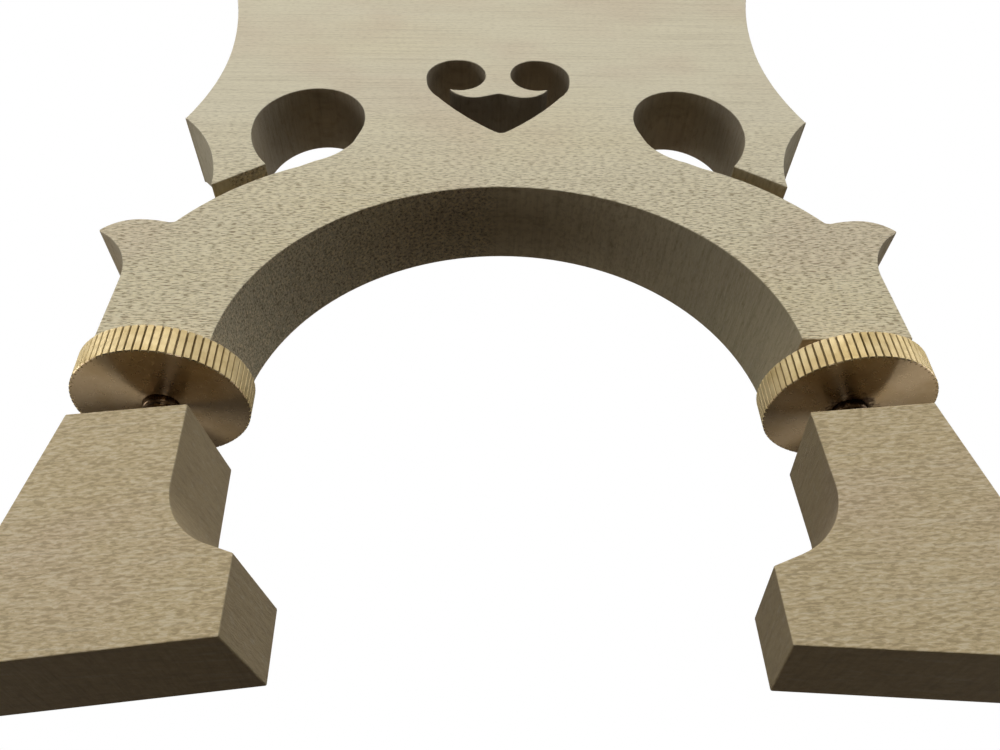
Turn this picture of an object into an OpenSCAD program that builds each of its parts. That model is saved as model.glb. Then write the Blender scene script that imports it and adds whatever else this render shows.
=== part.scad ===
// Adjustable double bass bridge: a flat maple body that stands on two separate feet.
// Between each leg and its foot sits a knurled brass wheel on a stud. The stud's plain
// pin turns in the leg, and its threaded end screws into the foot to set the height.
// Z is up, X runs from foot to foot, and the flat face of the bridge looks towards -Y.
// The origin is at the height of the lowest sole edge, midway between the two studs.

/* [Body] */
// Distance from the centre line to each stud
post_x = 60.4; // [58:0.1:63]
// Distance from the studs' plane forward to the flat face
face_y = 10.4; // [9:0.1:12]
// Thickness of the body at the bottom of the legs
leg_thick = 23.2; // [21:0.1:25]
// Thickness of the body at the crown
crown_thick = 10.5; // [9:0.1:14]
// Height of the crown above the bottom of the legs
crown_h = 130.6; // [125:0.1:140]
// How far the crown stands above the two top corners
crown_rise = 15; // [10:0.5:20]
// Depth of the hole for the plain pin in each leg
leg_bore_depth = 24; // [22.5:0.5:26]

/* [Feet] */
// Height of a foot from the inner end of its sole to its top
foot_h = 38.25; // [36:0.25:42]
// Thickness of a foot
foot_thick = 20; // [18:0.1:20.8]
// Height of the toe at the inner end of a foot
toe_h = 11.85; // [10:0.05:14]
// Slope of the left sole, in degrees
left_sole_slope = 2.9; // [0:0.1:8]
// Slope of the right sole, in degrees
right_sole_slope = 6.4; // [0:0.1:8]
// How far the left foot is swivelled on its stud, in degrees
left_foot_turn = -7.5; // [-12:0.5:12]
// How far the right foot is swivelled on its stud, in degrees
right_foot_turn = -7; // [-12:0.5:12]
// Thickness of wood left between the hollow and the stud's axis, left foot
left_hollow_wall = 10.7; // [9.5:0.1:12]
// Thickness of wood left between the hollow and the stud's axis, right foot
right_hollow_wall = 10; // [9.5:0.1:12]
// Depth of the threaded hole in each foot
foot_bore_depth = 31; // [30:0.5:33]

/* [Height adjusters] */
// Diameter of a wheel over its teeth
wheel_d = 30; // [27:0.5:31]
// Height of a wheel
wheel_h = 5.6; // [4:0.1:7]
// Number of teeth in the knurl of a wheel
teeth = 72; // [48:1:96]
// Depth of the grooves between the teeth
groove = 0.45; // [0.2:0.05:0.8]
// Diameter of the stud
stud_d = 6; // [5:0.1:6.5]
// Length of the plain pin above a wheel
pin_h = 22; // [18:0.5:22]
// Length of the threaded end below a wheel
thread_h = 29; // [26:0.5:29]
// Radial play of a stud in the leg and in the foot
play = 0.05; // [0.02:0.01:0.1]
// Gap between the left leg and its wheel
left_seat_gap = 0.2; // [0.1:0.1:2.5]
// Gap between the right leg and its wheel
right_seat_gap = 2.1; // [0.1:0.1:2.5]
// Height from the left foot to the bottom of its leg, with the wheel between them
left_leg_gap = 13.95; // [12:0.05:18]
// Height from the right foot to the bottom of its leg, with the wheel between them
right_leg_gap = 14.4; // [12:0.05:18]

/* [Hidden] */

MAPLE = [0.75, 0.70, 0.58];
BRASS = [0.80, 0.67, 0.40];
STEEL = [0.45, 0.44, 0.42];

// Reach of a foot from its stud: outer end of the sole, inner end and both top corners,
// and the radius of the hollow on its inner side
foot_out = 18.4;
foot_in = 22.2;
top_out = 9.6;
top_in = 10.4;
hollow_r = 11.6;

// How far the outer end of a sole lies below its inner end
function sole_drop(slope) = (foot_out + foot_in) * tan(slope);

// Height of the bottom of the legs above the lower of the two soles
leg_z = foot_h + max(sole_drop(left_sole_slope) + left_leg_gap,
                     sole_drop(right_sole_slope) + right_leg_gap);

taper = atan((leg_thick - crown_thick) / crown_h);
stud_r = stud_d / 2;
bore_r = stud_r + play;

// Points along a circle of radius r about c, from angle a to angle b
function arc(c, r, a, b, n) =
    [for (i = [0:n]) let (t = a + (b - a) * i / n) [c[0] + r * cos(t), c[1] + r * sin(t)]];

// Points along an ellipse with half axes r[0] and r[1], turned by the angle tilt
function oval(c, r, tilt, a, b, n) =
    [for (i = [0:n]) let (t = a + (b - a) * i / n, u = r[0] * cos(t), v = r[1] * sin(t))
        [c[0] + u * cos(tilt) - v * sin(tilt), c[1] + u * sin(tilt) + v * cos(tilt)]];

// The same points mirrored to the other side of the centre line, in reverse order
function flip(pts) = [for (i = [len(pts) - 1:-1:0]) [-pts[i][0], pts[i][1]]];

// Right half of the body's outline, from the crown to the arch between the legs.
// Heights are above the bottom of the legs.
waist = [61.5, 89.1];
upper_flank_r = 104;
lower_flank_r = 70;
corner_z = crown_h - crown_rise;
corner_x = waist[0] + upper_flank_r - sqrt(pow(upper_flank_r, 2) - pow(corner_z - waist[1], 2));
crown_r = (pow(corner_x, 2) + pow(crown_rise, 2)) / (2 * crown_rise);
corner_a = asin((corner_z - waist[1]) / upper_flank_r);
arch = [50.85, 43.3];   // half width and height of the arch's ellipse
arch_z = -3.25;
leg_in = arch[0] * sqrt(1 - pow(arch_z / arch[1], 2));
leg_out = 70.3;

crown_pts = arc([0, crown_h - crown_r], crown_r, 90, acos(corner_x / crown_r), 20);
flank_pts = concat(
    arc([waist[0] + upper_flank_r, waist[1]], upper_flank_r, 180 - corner_a, 180, 8),
    arc([waist[0] + lower_flank_r, waist[1]], lower_flank_r, 181, 202.9, 10));
// concave underside of the ear, down to the mouth of the slit
ear_pts = arc([88.2, 40.35], 30.4, 135, 180, 10);
// the eye: its outer side, the oval round the top, and the foot of the oval
eye_pts = concat(
    arc([33.4, 59.3], 19.1, -40.5, -3, 8),
    oval([40.75, 61], [12.5, 11.35], 122, -118, 78, 36),
    arc([42.8, 60.8], 13.5, 209, 250, 8));
// top of the arm, which is also the lower edge of the slit
arm_pts = arc([20.1, -3.1], 53.7, 67, 37.6, 12);
wing_pts = concat(
    arc([69.4, 10.4], 20, 106.5, 91, 5),
    arc([69.4, 21.4], 9, 90, 41, 8),
    arc([82.4, 15.6], 13, 121, 180, 10));
leg_pts = [[leg_out, 0], [leg_in, 0]];
arch_pts = oval([0, arch_z], arch, 0, asin(-arch_z / arch[1]) + 2, 90, 32);
half_body = concat(crown_pts, flank_pts, ear_pts, eye_pts, arm_pts, wing_pts, leg_pts, arch_pts);

// Left half of the heart, from the tip of the point round to the notch of the tongue
heart_pts = concat(
    arc([0, 59.4], 1.7, 270, 228, 3),
    arc([34.8, 106.1], 60, 233, 216.5, 8),
    arc([-7.1, 76.8], 9, 222, 187, 6),
    arc([-9.3, 78], 6.9, 184, 92, 12),
    arc([-8.75, 79.05], 5.9, 78, -100, 18),
    arc([-5.6, 76.7], 6.35, 210, 286, 10),
    [[-0.5, 71.75], [0, 71.85]]);

module body_outline() {
    difference() {
        polygon(concat(half_body, flip(half_body)));
        polygon(concat(heart_pts, flip(heart_pts)));
    }
}

module bridge_body() {
    color(MAPLE) difference() {
        translate([0, leg_thick - face_y, leg_z]) rotate([90, 0, 0])
            linear_extrude(leg_thick) body_outline();
        // the back is planed to a slope, so that the body thins towards the crown
        translate([-100, leg_thick - face_y, leg_z]) rotate([taper, 0, 0])
            translate([0, 0, -5]) cube([200, 40, crown_h + 20]);
        for (side = [-1, 1]) translate([side * post_x, 0, leg_z - 1])
            cylinder(r = bore_r, h = leg_bore_depth + 1, $fn = 64);
    }
}

// One foot about its own stud: X points outward, and the sole slopes down to the outer end
function foot_pts(slope, wall) = concat(
    [[top_out, foot_h], [foot_out, -sole_drop(slope)], [-foot_in, 0], [-foot_in, toe_h]],
    arc([-wall - hollow_r, toe_h + 12.5], hollow_r, -70, 0, 12),
    [[-top_in, foot_h]]);

module foot(side, slope, wall, turn, gap) {
    translate([side * post_x, 0, leg_z - gap - foot_h]) rotate([0, 0, turn])
        mirror([side < 0 ? 1 : 0, 0, 0]) difference() {
            translate([0, foot_thick - face_y, 0]) rotate([90, 0, 0])
                linear_extrude(foot_thick) polygon(foot_pts(slope, wall));
            translate([0, 0, foot_h - foot_bore_depth])
                cylinder(r = bore_r, h = foot_bore_depth + 1, $fn = 64);
        }
}

module left_foot() {
    color(MAPLE) foot(-1, left_sole_slope, left_hollow_wall, left_foot_turn, left_leg_gap);
}

module right_foot() {
    color(MAPLE) foot(1, right_sole_slope, right_hollow_wall, right_foot_turn, right_leg_gap);
}

// Knurled wheel, with its underside at the origin
tip_share = 0.7;   // share of the pitch that is the flat tip of a tooth
module wheel() {
    pitch = 360 / teeth;
    outline = [for (i = [0:teeth - 1]) each [
        for (k = [[-tip_share / 2, 0], [tip_share / 2, 0], [0.47, groove], [0.53, groove]])
            let (a = (i + k[0]) * pitch, r = wheel_d / 2 - k[1]) [r * cos(a), r * sin(a)]]];
    difference() {
        linear_extrude(wheel_h) polygon(outline);
        translate([0, 0, -1]) cylinder(r = stud_r, h = wheel_h + 2, $fn = 64);
    }
}

function wheel_z(gap) = leg_z - gap - wheel_h;

module left_wheel() {
    color(BRASS) translate([-post_x, 0, wheel_z(left_seat_gap)]) wheel();
}

module right_wheel() {
    color(BRASS) translate([post_x, 0, wheel_z(right_seat_gap)]) wheel();
}

// Stud, with the wheel's underside at the origin: plain pin up, threaded end down
tip = 0.8;   // chamfer at each end
module stud() {
    rotate_extrude($fn = 64) polygon([
        [0, -thread_h], [stud_r - tip, -thread_h], [stud_r, tip - thread_h],
        [stud_r, wheel_h + pin_h - tip], [stud_r - tip, wheel_h + pin_h], [0, wheel_h + pin_h]]);
}

module left_stud() {
    color(STEEL) translate([-post_x, 0, wheel_z(left_seat_gap)]) stud();
}

module right_stud() {
    color(STEEL) translate([post_x, 0, wheel_z(right_seat_gap)]) stud();
}

bridge_body();
left_foot();
right_foot();
left_wheel();
right_wheel();
left_stud();
right_stud();
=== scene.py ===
"""Adjustable double bass bridge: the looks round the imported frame, in metres.

Z is up, X runs from foot to foot, and the bridge's flat face looks towards -Y. The wood, the
wheels and the studs are new pieces, each made for one CAD node and riding on its body.
"""

import math

import bmesh
import bpy
from mathutils import Matrix, Vector


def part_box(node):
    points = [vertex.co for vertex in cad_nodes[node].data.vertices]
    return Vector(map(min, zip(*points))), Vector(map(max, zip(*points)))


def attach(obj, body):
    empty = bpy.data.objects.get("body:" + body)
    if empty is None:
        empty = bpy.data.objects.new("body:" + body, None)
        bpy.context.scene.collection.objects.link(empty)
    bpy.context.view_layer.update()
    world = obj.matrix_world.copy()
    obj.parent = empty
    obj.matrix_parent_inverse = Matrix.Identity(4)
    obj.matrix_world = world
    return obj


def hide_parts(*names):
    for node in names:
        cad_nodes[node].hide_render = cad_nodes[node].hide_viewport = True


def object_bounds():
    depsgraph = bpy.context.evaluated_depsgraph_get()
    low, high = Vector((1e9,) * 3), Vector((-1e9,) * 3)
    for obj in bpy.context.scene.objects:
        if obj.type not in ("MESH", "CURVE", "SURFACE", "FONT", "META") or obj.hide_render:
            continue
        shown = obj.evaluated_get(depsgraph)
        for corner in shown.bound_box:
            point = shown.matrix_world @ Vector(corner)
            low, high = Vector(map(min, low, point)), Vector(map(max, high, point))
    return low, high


MM = 0.001

# Camera: below the feet, in front of the flat face, looking up at it
CAMERA_PLACE = (-0.00764, -0.12141, -0.03649)
CAMERA_PITCH = 37.78  # degrees above the horizon
CAMERA_YAW = 2.90  # degrees from +Y towards +X
CAMERA_ROLL = -2.04  # degrees about the view's own line
CAMERA_LENS = 30.6  # millimetres, on a sensor 36 mm wide

# Wood
EDGE_BREAK = 0.25 * MM  # how far the sharp edges are sanded back
SHARP = 35  # degrees between faces, above which an edge is a sharp one

# The openings, in millimetres
ARCH_FROM = 57  # height of the arch's feet
ARCH_TO = 54  # farthest from the middle of the bridge
HOLES_FROM = 112  # lowest height of the walls of the heart and the eyes
HOLES_TO = 57  # farthest from the middle of the bridge
HEART_TO = 22  # farthest of the heart's walls from the middle of the bridge
HEART_LOW_TO = 128  # height up to which its walls are darkest, from scorch and painted shade

# Wheels
TEETH = 72
GROOVE = 0.45 * MM  # depth between two teeth
TIP_SHARE = 0.7  # share of the pitch that is the flat tip of a tooth
WHEEL_CHAMFER = 0.15 * MM  # along both edges of the teeth
BORE_CHAMFER = 0.25 * MM

# Studs
PITCH = 1.0 * MM
THREAD_DEPTH = 0.55 * MM
THREAD_END = 0.6 * MM  # how far below the wheel the thread ends
THREAD_FADE = 0.8 * MM  # the length over which it grows to its full depth
STUD_TIP = 0.8 * MM  # chamfer at both ends
THREAD_SIDES = 48
ROWS_PER_TURN = 8

# Floor
FLOOR_DROP = 12.5 * MM  # clear of the feet even when they are screwed all the way out
FLOOR_NEAR = 200  # millimetres from the middle, up to which it takes light and shade
FLOOR_MIDDLE = 550  # from here on it only glows
FLOOR_FAR = 2200  # here it is as white as the background

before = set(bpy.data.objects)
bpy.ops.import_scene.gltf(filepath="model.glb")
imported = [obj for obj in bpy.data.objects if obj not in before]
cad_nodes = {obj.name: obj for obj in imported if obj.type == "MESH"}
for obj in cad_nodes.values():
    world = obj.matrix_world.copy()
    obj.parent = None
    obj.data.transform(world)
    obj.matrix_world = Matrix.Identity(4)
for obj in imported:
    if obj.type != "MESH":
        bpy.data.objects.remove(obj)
cad_low, cad_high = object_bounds()


# ---------------------------------------------------------------- node trees


class Tree:
    """A short way to write a shader: each method adds one node and gives back its output."""

    def __init__(self, name):
        self.material = bpy.data.materials.new(name)
        self.material.use_nodes = True
        self.nodes = self.material.node_tree.nodes
        self.links = self.material.node_tree.links
        self.shader = self.nodes["Principled BSDF"]

    def put(self, value, socket):
        """Sets a socket to a constant, or links an output to it."""
        if isinstance(value, bpy.types.NodeSocket):
            self.links.new(value, socket)
        else:
            socket.default_value = value

    def place(self):
        """A point on the piece, in millimetres in the frame's own axes."""
        coordinates = self.nodes.new("ShaderNodeTexCoord")
        return self.vector("SCALE", coordinates.outputs["Object"], scale=1 / MM)

    def vector(self, operation, a, b=(0, 0, 0), scale=1.0):
        node = self.nodes.new("ShaderNodeVectorMath")
        node.operation = operation
        self.put(a, node.inputs[0])
        if operation == "SCALE":
            self.put(scale, node.inputs["Scale"])
        else:
            self.put(b, node.inputs[1])
        return node.outputs["Value" if operation in ("LENGTH", "DOT_PRODUCT") else "Vector"]

    def math(self, operation, a, b=0.0, clamp=False):
        node = self.nodes.new("ShaderNodeMath")
        node.operation = operation
        node.use_clamp = clamp
        self.put(a, node.inputs[0])
        self.put(b, node.inputs[1])
        return node.outputs[0]

    def split(self, vector):
        node = self.nodes.new("ShaderNodeSeparateXYZ")
        self.put(vector, node.inputs[0])
        return node.outputs

    def noise(self, place, stretch, detail=3.0, rough=0.5, shift=(0, 0, 0), warp=0.0):
        """Noise with so many cells to the millimetre along X, Y and Z."""
        scaled = self.vector("MULTIPLY_ADD", place, stretch)
        self.put(shift, scaled.node.inputs[2])
        node = self.nodes.new("ShaderNodeTexNoise")
        self.put(scaled, node.inputs["Vector"])
        node.inputs["Scale"].default_value = 1.0
        node.inputs["Detail"].default_value = detail
        node.inputs["Roughness"].default_value = rough
        node.inputs["Distortion"].default_value = warp
        return node.outputs["Fac"]

    def between(self, value, low, high, from_value=0.0, to_value=1.0):
        """from_value below low, to_value above high, and a smooth step between."""
        node = self.nodes.new("ShaderNodeMapRange")
        node.interpolation_type = "SMOOTHSTEP"
        for name, number in zip(
            ("Value", "From Min", "From Max", "To Min", "To Max"),
            (value, low, high, from_value, to_value),
        ):
            self.put(number, node.inputs[name])
        return node.outputs["Result"]

    def mix(self, share, a, b, kind="MIX"):
        node = self.nodes.new("ShaderNodeMix")
        node.data_type = "RGBA"
        node.blend_type = kind
        self.put(share, node.inputs["Factor"])
        self.put(a, node.inputs["A"])
        self.put(b, node.inputs["B"])
        return node.outputs["Result"]

    def bump(self, height, depth, under=None):
        """A bump, depth metres high where height is 1."""
        node = self.nodes.new("ShaderNodeBump")
        node.inputs["Strength"].default_value = 1.0
        node.inputs["Distance"].default_value = depth
        self.put(height, node.inputs["Height"])
        if under is not None:
            self.put(under, node.inputs["Normal"])
        return node.outputs["Normal"]

    def normal(self):
        """The face's own direction, without bump."""
        return self.nodes.new("ShaderNodeNewGeometry").outputs["True Normal"]


def rgb(red, green, blue):
    """A colour from screen values 0 to 255, as the shader's linear numbers."""

    def linear(v):
        v /= 255
        return v / 12.92 if v <= 0.04045 else ((v + 0.055) / 1.055) ** 2.4

    return (linear(red), linear(green), linear(blue), 1.0)


# ---------------------------------------------------------------- materials


def maple(name, seed, bare_height, strength, rows, pale, warm):
    """Bare maple, its grain along X: fine lines, dark ray flecks with painted highlights, and
    duller sawn walls darkened partly with painted shade.

    The flecks have a strength from 0 to 1 and fade out above bare_height, in millimetres.
    rows is how many of them lie one above the other in a millimetre.
    pale and warm are the two colours that the faces drift between. seed moves the pattern,
    so that no two pieces are cut from the same place."""
    t = Tree(name)
    place = t.place()
    shift = (seed * 37.1, seed * 11.3, seed * 5.7)
    height = t.split(place)["Z"]
    facing = t.split(t.vector("ABSOLUTE", t.normal()))
    end_grain = t.between(facing["X"], 0.25, 0.95)
    wall = t.between(facing["Y"], 0.3, 0.7, 1.0, 0.0)

    # slow drift of tone over the board, paler towards the crown
    drift = t.noise(place, (0.012, 0.02, 0.035), 2.0, shift=shift)
    rise = t.between(height, bare_height - 75, bare_height + 15)
    tone = t.math("ADD", t.between(drift, 0.3, 0.7, -0.25, 0.25), rise, clamp=True)
    colour = t.mix(tone, rgb(*warm), rgb(*pale))
    blush = t.noise(place, (0.03, 0.03, 0.04), 2.0, shift=(seed * 3.1 + 4.7, 0, 2.2))
    colour = t.mix(t.between(blush, 0.50, 0.72, 0.0, 0.30), colour, rgb(208, 184, 160))

    # growth lines: long, fine, almost straight
    lines = t.noise(place, (0.03, 0.5, 2.6), 4.0, 0.65, shift, warp=0.15)
    colour = t.mix(t.between(lines, 0.46, 0.75, 0.0, 0.42), colour, rgb(166, 150, 118))
    pale_lines = t.noise(place, (0.02, 0.4, 1.3), 3.0, 0.6, (seed * 2.0, 3.3, 9.1))
    colour = t.mix(t.between(pale_lines, 0.52, 0.8, 0.0, 0.30), colour, rgb(230, 223, 202))

    # ray flecks: short dark dashes along the grain, with pale painted highlights beside them
    flecks = t.noise(place, (0.75, 0.9, rows), 3.0, 0.5, shift, warp=0.35)
    fade = t.between(height, bare_height - 45, bare_height + 4, strength, 0.2 * strength)
    fade = t.math("MULTIPLY", fade, t.between(wall, 0.0, 1.0, 1.0, 0.3))
    fade = t.math("MULTIPLY", fade, t.between(end_grain, 0.0, 1.0, 1.0, 0.4))
    dash = t.math("MULTIPLY", t.between(flecks, 0.50, 0.62), fade)
    colour = t.mix(t.math("MULTIPLY", dash, 0.74), colour, rgb(134, 115, 80))
    # pale painted highlight beside each dash, where its bump would catch the light
    glint = t.math("MULTIPLY", t.between(flecks, 0.48, 0.36), fade)
    colour = t.mix(t.math("MULTIPLY", glint, 0.50), colour, rgb(240, 231, 204))

    # the walls are sawn, not sanded: browner, with pores in the end grain and faint saw marks;
    # part of their darkening is painted shade
    marks = t.noise(place, (1.3, 0.06, 1.3), 5.0, 0.7, shift, warp=0.1)
    mark = t.math("MULTIPLY", t.between(marks, 0.42, 0.72), wall)
    colour = t.mix(t.math("MULTIPLY", mark, 0.22), colour, rgb(120, 100, 74))
    pores = t.noise(place, (1.2, 2.2, 4.0), 3.0, 0.65, shift)
    pore = t.math("MULTIPLY", t.between(pores, 0.52, 0.68), end_grain)
    colour = t.mix(t.math("MULTIPLY", pore, 0.12), colour, rgb(98, 78, 54))
    # every face not facing the front or back is darker: partly the sawn wood's own tone, partly
    # painted shade
    colour = t.mix(wall, colour, (0.76, 0.71, 0.65, 1.0), "MULTIPLY")
    colour = t.mix(end_grain, colour, (0.87, 0.91, 0.97, 1.0), "MULTIPLY")

    # grain torn up where the blade ran against it, under the left half of the arch
    across = t.split(place)["X"]
    out = t.math("ABSOLUTE", across)
    torn = t.between(across, -6.0, 2.0, 1.0, 0.0)
    torn = t.math("MULTIPLY", torn, t.between(out, ARCH_TO, ARCH_TO + 1, 1.0, 0.0))
    torn = t.math("MULTIPLY", torn, t.between(height, ARCH_FROM - 1, ARCH_FROM))
    torn = t.math("MULTIPLY", torn, t.between(height, HOLES_FROM - 3, HOLES_FROM, 1.0, 0.0))
    torn = t.math("MULTIPLY", torn, wall)
    fibres = t.noise(place, (1.5, 1.8, 2.8), 4.0, 0.7, shift, warp=0.3)
    fibre = t.math("MULTIPLY", t.between(fibres, 0.53, 0.60), torn)
    colour = t.mix(t.math("MULTIPLY", fibre, 0.75), colour, rgb(228, 208, 164))
    gap = t.math("MULTIPLY", t.between(fibres, 0.48, 0.38), torn)
    colour = t.mix(t.math("MULTIPLY", gap, 0.60), colour, rgb(70, 58, 42))

    # the walls of the openings are darker: partly scorched by the blade, partly painted shade,
    # darkest low in the heart
    inside = t.math("MULTIPLY", t.between(height, HOLES_FROM - 3, HOLES_FROM), wall)
    scorch_and_shade = t.math("MULTIPLY", inside, t.between(out, HOLES_TO, HOLES_TO + 2, 1.0, 0.0))
    beside = t.between(out, HEART_TO, HEART_TO + 3)
    above = t.between(height, HEART_LOW_TO, HEART_LOW_TO + 5)
    lighter = t.math("ADD", beside, above, clamp=True)
    burnt_and_shaded = t.mix(lighter, (0.54, 0.54, 0.60, 1.0), (0.76, 0.73, 0.74, 1.0))
    colour = t.mix(scorch_and_shade, colour, burnt_and_shaded, "MULTIPLY")
    t.put(colour, t.shader.inputs["Base Color"])

    fuzz = t.noise(place, (3.0, 5.0, 5.0), 3.0, 0.7, shift)
    t.put(t.between(fuzz, 0.3, 0.75, 0.58, 0.78), t.shader.inputs["Roughness"])
    t.shader.inputs["Specular IOR Level"].default_value = 0.25
    normal = t.bump(fuzz, 0.04 * MM)
    normal = t.bump(t.math("MULTIPLY", flecks, fade), 0.18 * MM, normal)
    normal = t.bump(t.math("MULTIPLY", marks, wall), 0.12 * MM, normal)
    normal = t.bump(t.math("MULTIPLY", fibres, torn), 0.35 * MM, normal)
    t.put(normal, t.shader.inputs["Normal"])
    return t.material


def brass_parts(t, seed):
    """What both brass finishes share: a drifting colour, a little grime and its noise."""
    place = t.place()
    tarnish = t.noise(place, (0.12, 0.12, 0.2), 4.0, 0.6, (seed * 7.7, 0, 0))
    colour = t.mix(t.between(tarnish, 0.35, 0.7), rgb(220, 203, 160), rgb(204, 184, 136))
    grime = t.noise(place, (0.9, 0.9, 0.9), 5.0, 0.65, (seed * 3.3, 1.7, 0))
    colour = t.mix(t.between(grime, 0.5, 0.8, 0.0, 0.15), colour, rgb(150, 118, 74))
    t.shader.inputs["Metallic"].default_value = 1.0
    return place, colour, grime


def radius_about(t, place, middle):
    """Distance from the upright axis through middle, in millimetres."""
    return t.vector(
        "LENGTH", t.vector("MULTIPLY", t.vector("SUBTRACT", place, tuple(middle)), (1, 1, 0))
    )


def rim_brass(name, middle, radius, seed):
    """Cut teeth: matte from the knurling tool, with painted shade in the grooves.

    middle and radius of the wheel are in millimetres."""
    t = Tree(name)
    place, colour, grime = brass_parts(t, seed)
    reach = radius_about(t, place, middle)
    # darker towards the bottoms of the grooves: painted shade
    groove_shade = t.between(reach, radius - 0.32, radius - 0.06, 0.50, 0.0)
    colour = t.mix(groove_shade, colour, rgb(78, 58, 30))
    colour = t.mix(1.0, colour, (0.84, 0.82, 0.79, 1.0), "MULTIPLY")
    t.put(colour, t.shader.inputs["Base Color"])
    t.put(t.between(grime, 0.3, 0.75, 0.60, 0.72), t.shader.inputs["Roughness"])
    drag = t.noise(place, (3.5, 3.5, 0.25), 3.0)
    t.put(t.bump(drag, 0.02 * MM), t.shader.inputs["Normal"])
    return t.material


def face_brass(name, middle, seed, stain):
    """A face turned on a lathe, about an upright axis through middle in millimetres.

    stain is the strength of the brown residue round the stud."""
    t = Tree(name)
    place, colour, grime = brass_parts(t, seed)
    radius = radius_about(t, place, middle)
    edge = t.math("ADD", radius, t.math("MULTIPLY", grime, -6.0))
    ring = t.math("MULTIPLY", t.between(edge, 0.2, 2.4, 1.0, 0.0), stain)
    # both flat faces darker than the rim: painted shade, fitted to the wheel's shaded underside
    colour = t.mix(1.0, colour, (0.74, 0.68, 0.74, 1.0), "MULTIPLY")
    colour = t.mix(ring, colour, rgb(64, 40, 20))
    t.put(colour, t.shader.inputs["Base Color"])

    turned = t.nodes.new("ShaderNodeTexNoise")
    turned.noise_dimensions = "1D"
    t.put(t.math("MULTIPLY", radius, 9.0), turned.inputs["W"])
    turned.inputs["Scale"].default_value = 1.0
    turned.inputs["Detail"].default_value = 3.0
    rough = t.between(grime, 0.3, 0.75, 0.27, 0.30)
    t.put(t.mix(ring, rough, (0.7, 0.7, 0.7, 1.0)), t.shader.inputs["Roughness"])
    t.put(t.bump(turned.outputs["Fac"], 0.003 * MM), t.shader.inputs["Normal"])

    tangent = t.nodes.new("ShaderNodeTangent")
    tangent.direction_type = "RADIAL"
    tangent.axis = "Z"
    t.put(tangent.outputs["Tangent"], t.shader.inputs["Tangent"])
    t.shader.inputs["Anisotropic"].default_value = 1.0
    t.shader.inputs["Anisotropic Rotation"].default_value = 0.25
    return t.material


def steel(name):
    """Dark oiled steel, with a trace of dust in the thread."""
    t = Tree(name)
    place = t.place()
    dust = t.noise(place, (0.8, 0.8, 1.4), 4.0, 0.6)
    colour = t.mix(t.between(dust, 0.4, 0.7), rgb(110, 90, 68), rgb(60, 46, 33))
    t.put(colour, t.shader.inputs["Base Color"])
    t.shader.inputs["Metallic"].default_value = 1.0
    t.put(t.between(dust, 0.35, 0.75, 0.25, 0.45), t.shader.inputs["Roughness"])
    scratches = t.noise(place, (4.0, 4.0, 0.6), 3.0)
    t.put(t.bump(scratches, 0.004 * MM), t.shader.inputs["Normal"])
    return t.material


# ---------------------------------------------------------------- meshes


def finish_mesh(bm, name, *materials):
    """Makes the piece's object, smooth across shallow edges and flat across its big faces."""
    bmesh.ops.recalc_face_normals(bm, faces=bm.faces)
    mesh = bpy.data.meshes.new(name)
    bm.to_mesh(mesh)
    bm.free()
    for material in materials:
        mesh.materials.append(material)
    mesh.shade_smooth()
    piece = bpy.data.objects.new(name, mesh)
    bpy.context.scene.collection.objects.link(piece)
    weighted = piece.modifiers.new("weighted_normals", "WEIGHTED_NORMAL")
    weighted.keep_sharp = True
    weighted.weight = 100
    return piece


def stand_for(piece, node, body):
    """The piece takes the CAD node's place and rides on its body."""
    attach(piece, body)
    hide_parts(node)


def timber(name, node, body, material):
    """A wooden piece: the node's own shape, with its sharp edges sanded back."""
    bm = bmesh.new()
    bm.from_mesh(cad_nodes[node].data)
    bmesh.ops.remove_doubles(bm, verts=bm.verts, dist=0.001 * MM)
    bmesh.ops.dissolve_limit(
        bm, angle_limit=math.radians(0.5), verts=bm.verts, edges=bm.edges
    )
    sharp = [e for e in bm.edges if e.is_manifold and e.calc_face_angle() > math.radians(SHARP)]
    bmesh.ops.bevel(
        bm, geom=sharp, offset=EDGE_BREAK, segments=2, profile=0.5,
        affect="EDGES", clamp_overlap=False, miter_outer="ARC",
    )
    bmesh.ops.triangulate(bm, faces=[f for f in bm.faces if len(f.verts) > 4])
    stand_for(finish_mesh(bm, name, material), node, body)


def ring_of(bm, points):
    return [bm.verts.new(p) for p in points]


def join_rings(bm, low, high):
    count = len(low)
    for i in range(count):
        j = (i + 1) % count
        bm.faces.new((low[i], low[j], high[j], high[i]))


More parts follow.
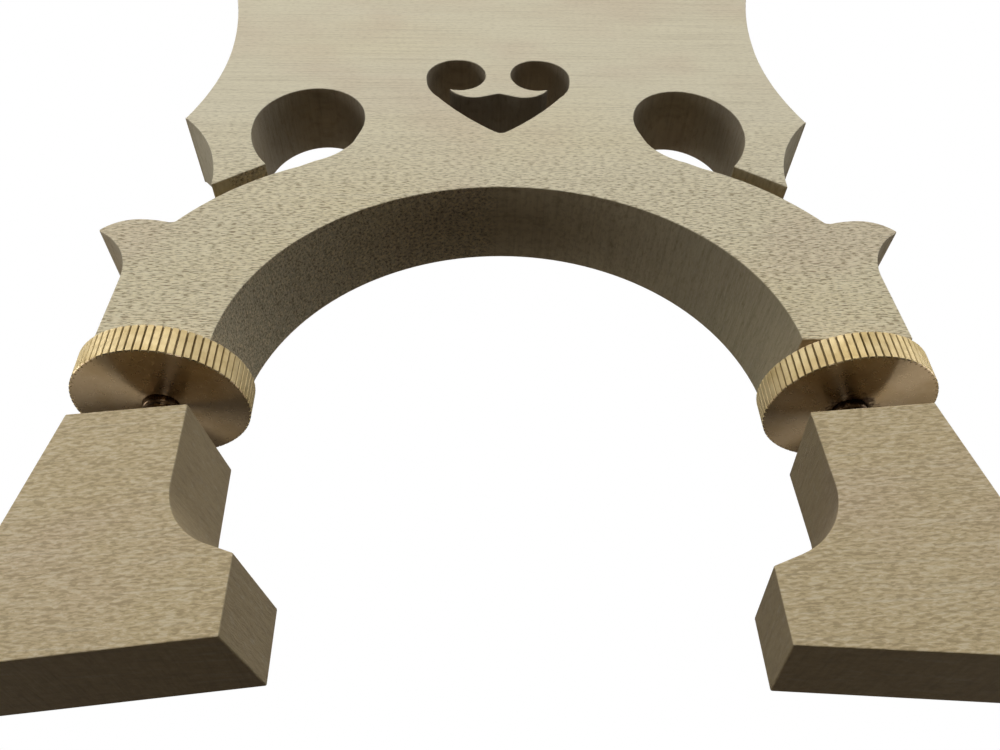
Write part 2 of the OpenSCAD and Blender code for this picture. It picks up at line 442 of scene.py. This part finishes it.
def knurled(name, node, body, rim, face, bore):
    """A wheel: chamfered teeth round the rim and a chamfered hole, open for the stud."""
    low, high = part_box(node)
    middle = (low + high) / 2
    top_radius = (high.x - low.x) / 2
    bm = bmesh.new()

    def teeth_ring(inset, z):
        points = []
        for i in range(TEETH):
            for share, depth in (
                (-TIP_SHARE / 2, 0), (TIP_SHARE / 2, 0), (0.47, GROOVE), (0.53, GROOVE),
            ):
                angle = 2 * math.pi * (i + share) / TEETH
                r = top_radius - inset - depth
                points.append((middle.x + r * math.cos(angle), middle.y + r * math.sin(angle), z))
        return ring_of(bm, points)

    def round_ring(r, z):
        count = 4 * TEETH
        start = -TIP_SHARE / 2 / TEETH
        turns = [start + i / count for i in range(count)]
        return ring_of(bm, [
            (middle.x + r * math.cos(2 * math.pi * t), middle.y + r * math.sin(2 * math.pi * t), z)
            for t in turns
        ])

    inner = top_radius - 3 * GROOVE  # the flat faces end a little inside the grooves
    mouth = bore + BORE_CHAMFER
    rings = [
        round_ring(bore, low.z + BORE_CHAMFER),
        round_ring(mouth, low.z),
        round_ring(inner, low.z),
        teeth_ring(WHEEL_CHAMFER, low.z),
        teeth_ring(0, low.z + WHEEL_CHAMFER),
        teeth_ring(0, high.z - WHEEL_CHAMFER),
        teeth_ring(WHEEL_CHAMFER, high.z),
        round_ring(inner, high.z),
        round_ring(mouth, high.z),
        round_ring(bore, high.z - BORE_CHAMFER),
    ]
    for one, two in zip(rings, rings[1:] + rings[:1]):
        join_rings(bm, one, two)
    mark_sharp(bm, 25)
    for part in bm.faces:
        part.material_index = 1 if abs(part.normal.z) > 0.6 else 0
    stand_for(finish_mesh(bm, name, rim, face), node, body)


def mark_sharp(bm, degrees):
    """Marks the edges across which the shading breaks."""
    bm.normal_update()
    for edge in bm.edges:
        if edge.is_manifold and edge.calc_face_angle() > math.radians(degrees):
            edge.smooth = False


def threaded(name, node, wheel, body, material):
    """A stud: plain pin above, right-hand thread below the wheel."""
    low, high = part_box(node)
    wheel_low, wheel_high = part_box(wheel)
    middle = (low + high) / 2
    radius = (high.x - low.x) / 2
    bm = bmesh.new()

    def ring(z, radius_at):
        points = []
        for i in range(THREAD_SIDES):
            angle = 2 * math.pi * i / THREAD_SIDES
            r = radius_at(i / THREAD_SIDES)
            points.append((middle.x + r * math.cos(angle), middle.y + r * math.sin(angle), z))
        return ring_of(bm, points)

    def thread_radius(z):
        """Radius round the turn at height z: a V thread that fades out at both ends."""
        cut = min(1.0, (wheel_low.z - THREAD_END - z) / THREAD_FADE)
        most = min(radius, radius - STUD_TIP + (z - low.z))

        def at(turn):
            phase = ((z - low.z) / PITCH - turn) % 1.0
            crest = min(1.0, 2.3 * abs(phase - 0.5))
            return min(most, radius - THREAD_DEPTH * max(0.0, cut) * crest)

        return at

    rings = []
    rows = round((wheel_low.z - low.z - 0.5 * MM) / PITCH * ROWS_PER_TURN)
    for row in range(rows + 1):
        z = low.z + row * PITCH / ROWS_PER_TURN
        rings.append(ring(z, thread_radius(z)))
    for z, r in (
        (wheel_high.z + 1 * MM, radius),
        (high.z - STUD_TIP, radius),
        (high.z, radius - STUD_TIP),
    ):
        rings.append(ring(z, lambda turn, r=r: r))
    for one, two in zip(rings, rings[1:]):
        join_rings(bm, one, two)
    bm.faces.new(reversed(rings[0]))
    bm.faces.new(rings[-1])
    mark_sharp(bm, 50)
    stand_for(finish_mesh(bm, name, material), node, body)


# ---------------------------------------------------------------- the object


def build_wood():
    crown = (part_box("bridge_body")[1].z) / MM
    body = maple("maple_body", 1, crown - 57, 1.0, 4.3, (226, 217, 189), (229, 216, 178))
    timber("maple_body", "bridge_body", "bridge", body)
    for seed, side in ((2, "left"), (3, "right")):
        name = "maple_%s_foot" % side
        # the feet are darker and warmer than the body: partly their own tone, partly painted shade
        foot = maple(name, seed, crown, 0.54, 2.7, (208, 190, 152), (199, 179, 138))
        timber(name, side + "_foot", side + "_base", foot)


def build_adjusters():
    stud_steel = steel("stud_steel")
    for seed, side, stain in ((1, "left", 0.25), (2, "right", 0.9)):
        wheel, stud, body = side + "_wheel", side + "_stud", side + "_adjuster"
        low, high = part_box(wheel)
        stud_low, stud_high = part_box(stud)
        bore = (stud_high.x - stud_low.x) / 2 + 0.01 * MM
        middle = [c / MM for c in (low + high) / 2]
        rim = rim_brass("brass_rim_" + side, middle, (high.x - low.x) / 2 / MM, seed)
        face = face_brass("brass_face_" + side, middle, seed, stain)
        knurled("brass_" + wheel, wheel, body, rim, face, bore)
        threaded("steel_" + stud, stud, wheel, body, stud_steel)


# ---------------------------------------------------------------- stage


def build_floor():
    """A pale floor that is seen from above only, and sends no light back up."""
    bm = bmesh.new()
    bmesh.ops.create_grid(bm, x_segments=1, y_segments=1, size=2.5)
    mesh = bpy.data.meshes.new("floor")
    bm.to_mesh(mesh)
    bm.free()
    t = Tree("floor")
    away = t.vector("LENGTH", t.place())
    lit = t.between(away, FLOOR_NEAR, FLOOR_MIDDLE, 0.22, 0.0)
    t.put(lit, t.shader.inputs["Base Color"])
    t.shader.inputs["Roughness"].default_value = 0.9
    t.shader.inputs["Specular IOR Level"].default_value = 0.0
    t.shader.inputs["Emission Strength"].default_value = 1.0
    glow = t.between(away, FLOOR_NEAR, FLOOR_MIDDLE, 0.58, 0.80)
    fade = t.between(away, FLOOR_MIDDLE, FLOOR_FAR, 0.0, 0.2)
    t.put(t.math("ADD", glow, fade), t.shader.inputs["Emission Color"])
    clear = t.nodes.new("ShaderNodeBsdfTransparent")
    under = t.nodes.new("ShaderNodeNewGeometry")
    switch = t.nodes.new("ShaderNodeMixShader")
    t.put(under.outputs["Backfacing"], switch.inputs[0])
    t.put(t.shader.outputs[0], switch.inputs[1])
    t.put(clear.outputs[0], switch.inputs[2])
    t.put(switch.outputs[0], t.nodes["Material Output"].inputs["Surface"])
    mesh.materials.append(t.material)
    floor = bpy.data.objects.new("floor", mesh)
    floor.location.z = cad_low.z - FLOOR_DROP
    bpy.context.scene.collection.objects.link(floor)
    floor.visible_diffuse = False
    floor.visible_glossy = False
    floor.visible_transmission = False
    floor.visible_shadow = False


def build_world():
    """White to the camera. As light it is dim: a little from above, less from below and
    behind, and next to nothing from below and in front."""
    world = bpy.data.worlds.new("studio")
    bpy.context.scene.world = world
    world.use_nodes = True
    nodes, links = world.node_tree.nodes, world.node_tree.links
    shown = nodes["Background"]
    shown.inputs["Color"].default_value = (1, 1, 1, 1)
    light = nodes.new("ShaderNodeBackground")
    coordinates = nodes.new("ShaderNodeTexCoord")
    split = nodes.new("ShaderNodeSeparateXYZ")
    links.new(coordinates.outputs["Generated"], split.inputs[0])

    def blend(axis, low, high, a, b):
        step = nodes.new("ShaderNodeMapRange")
        step.interpolation_type = "SMOOTHSTEP"
        step.inputs["From Min"].default_value = low
        step.inputs["From Max"].default_value = high
        links.new(split.outputs[axis], step.inputs["Value"])
        node = nodes.new("ShaderNodeMix")
        node.data_type = "RGBA"
        links.new(step.outputs["Result"], node.inputs["Factor"])
        node.inputs["A"].default_value = a
        if isinstance(b, bpy.types.NodeSocket):
            links.new(b, node.inputs["B"])
        else:
            node.inputs["B"].default_value = b
        return node

    ground = blend("Y", -0.3, 0.3, (0.014, 0.011, 0.008, 1), (0.094, 0.084, 0.074, 1))
    sky = blend("Z", -0.15, 0.35, (0, 0, 0, 1), (0.13, 0.13, 0.13, 1))
    links.new(ground.outputs["Result"], sky.inputs["A"])
    links.new(sky.outputs["Result"], light.inputs["Color"])
    kind = nodes.new("ShaderNodeLightPath")
    switch = nodes.new("ShaderNodeMixShader")
    links.new(kind.outputs["Is Camera Ray"], switch.inputs[0])
    links.new(light.outputs[0], switch.inputs[1])
    links.new(shown.outputs[0], switch.inputs[2])
    links.new(switch.outputs[0], nodes["World Output"].inputs["Surface"])


def soft_light(name, place, size, watts, colour=(1, 1, 1), diffuse=True, glossy=True):
    """A panel that faces the object's middle. One kept to gloss only shows in the metal."""
    data = bpy.data.lights.new(name, "AREA")
    data.shape = "RECTANGLE"
    data.size, data.size_y = size
    data.energy = watts
    data.color = colour
    lamp = bpy.data.objects.new(name, data)
    lamp.location = place
    aim = (cad_low + cad_high) / 2 - Vector(place)
    lamp.rotation_euler = aim.to_track_quat("-Z", "Y").to_euler()
    lamp.visible_camera = False
    lamp.visible_diffuse = diffuse
    lamp.visible_glossy = glossy
    bpy.context.scene.collection.objects.link(lamp)


def build_lights():
    soft_light("key", (-0.05, -0.75, 0.42), (0.60, 0.50), 5.2)
    soft_light("left_side", (-0.65, 0.0, 0.03), (0.35, 0.35), 1.5)
    soft_light("right_side", (0.65, 0.0, 0.03), (0.35, 0.35), 0.8)
    soft_light("back", (0.30, 0.80, 0.50), (0.70, 0.70), 4.6, glossy=False)
    for name, x in (("left_low", -0.68), ("right_low", 0.68)):
        soft_light(name, (x, 0.48, -0.38), (0.45, 0.50), 0.65, (1.0, 0.93, 0.80), diffuse=False)
    for name, x in (("left_high", -0.60), ("right_high", 0.60)):
        soft_light(name, (x, -0.25, 0.45), (0.35, 0.35), 2.1, diffuse=False)
    for name, x in (("left_glint", -0.017), ("right_glint", 0.002)):
        soft_light(name, (x, -0.125, -0.042), (0.004, 0.004), 0.012, diffuse=False)


def build_camera():
    data = bpy.data.cameras.new("camera")
    data.lens = CAMERA_LENS
    data.sensor_width = 36
    data.sensor_fit = "HORIZONTAL"
    data.clip_start = 0.005
    data.clip_end = 20
    camera = bpy.data.objects.new("camera", data)
    turn = (
        Matrix.Rotation(math.radians(-CAMERA_YAW), 4, "Z")
        @ Matrix.Rotation(math.radians(90 + CAMERA_PITCH), 4, "X")
        @ Matrix.Rotation(math.radians(CAMERA_ROLL), 4, "Z")
    )
    camera.matrix_world = Matrix.Translation(CAMERA_PLACE) @ turn
    bpy.context.scene.collection.objects.link(camera)
    bpy.context.scene.camera = camera


build_camera()
build_wood()
build_adjusters()
build_floor()
build_world()
build_lights()
bpy.context.scene.view_settings.view_transform = "Standard"
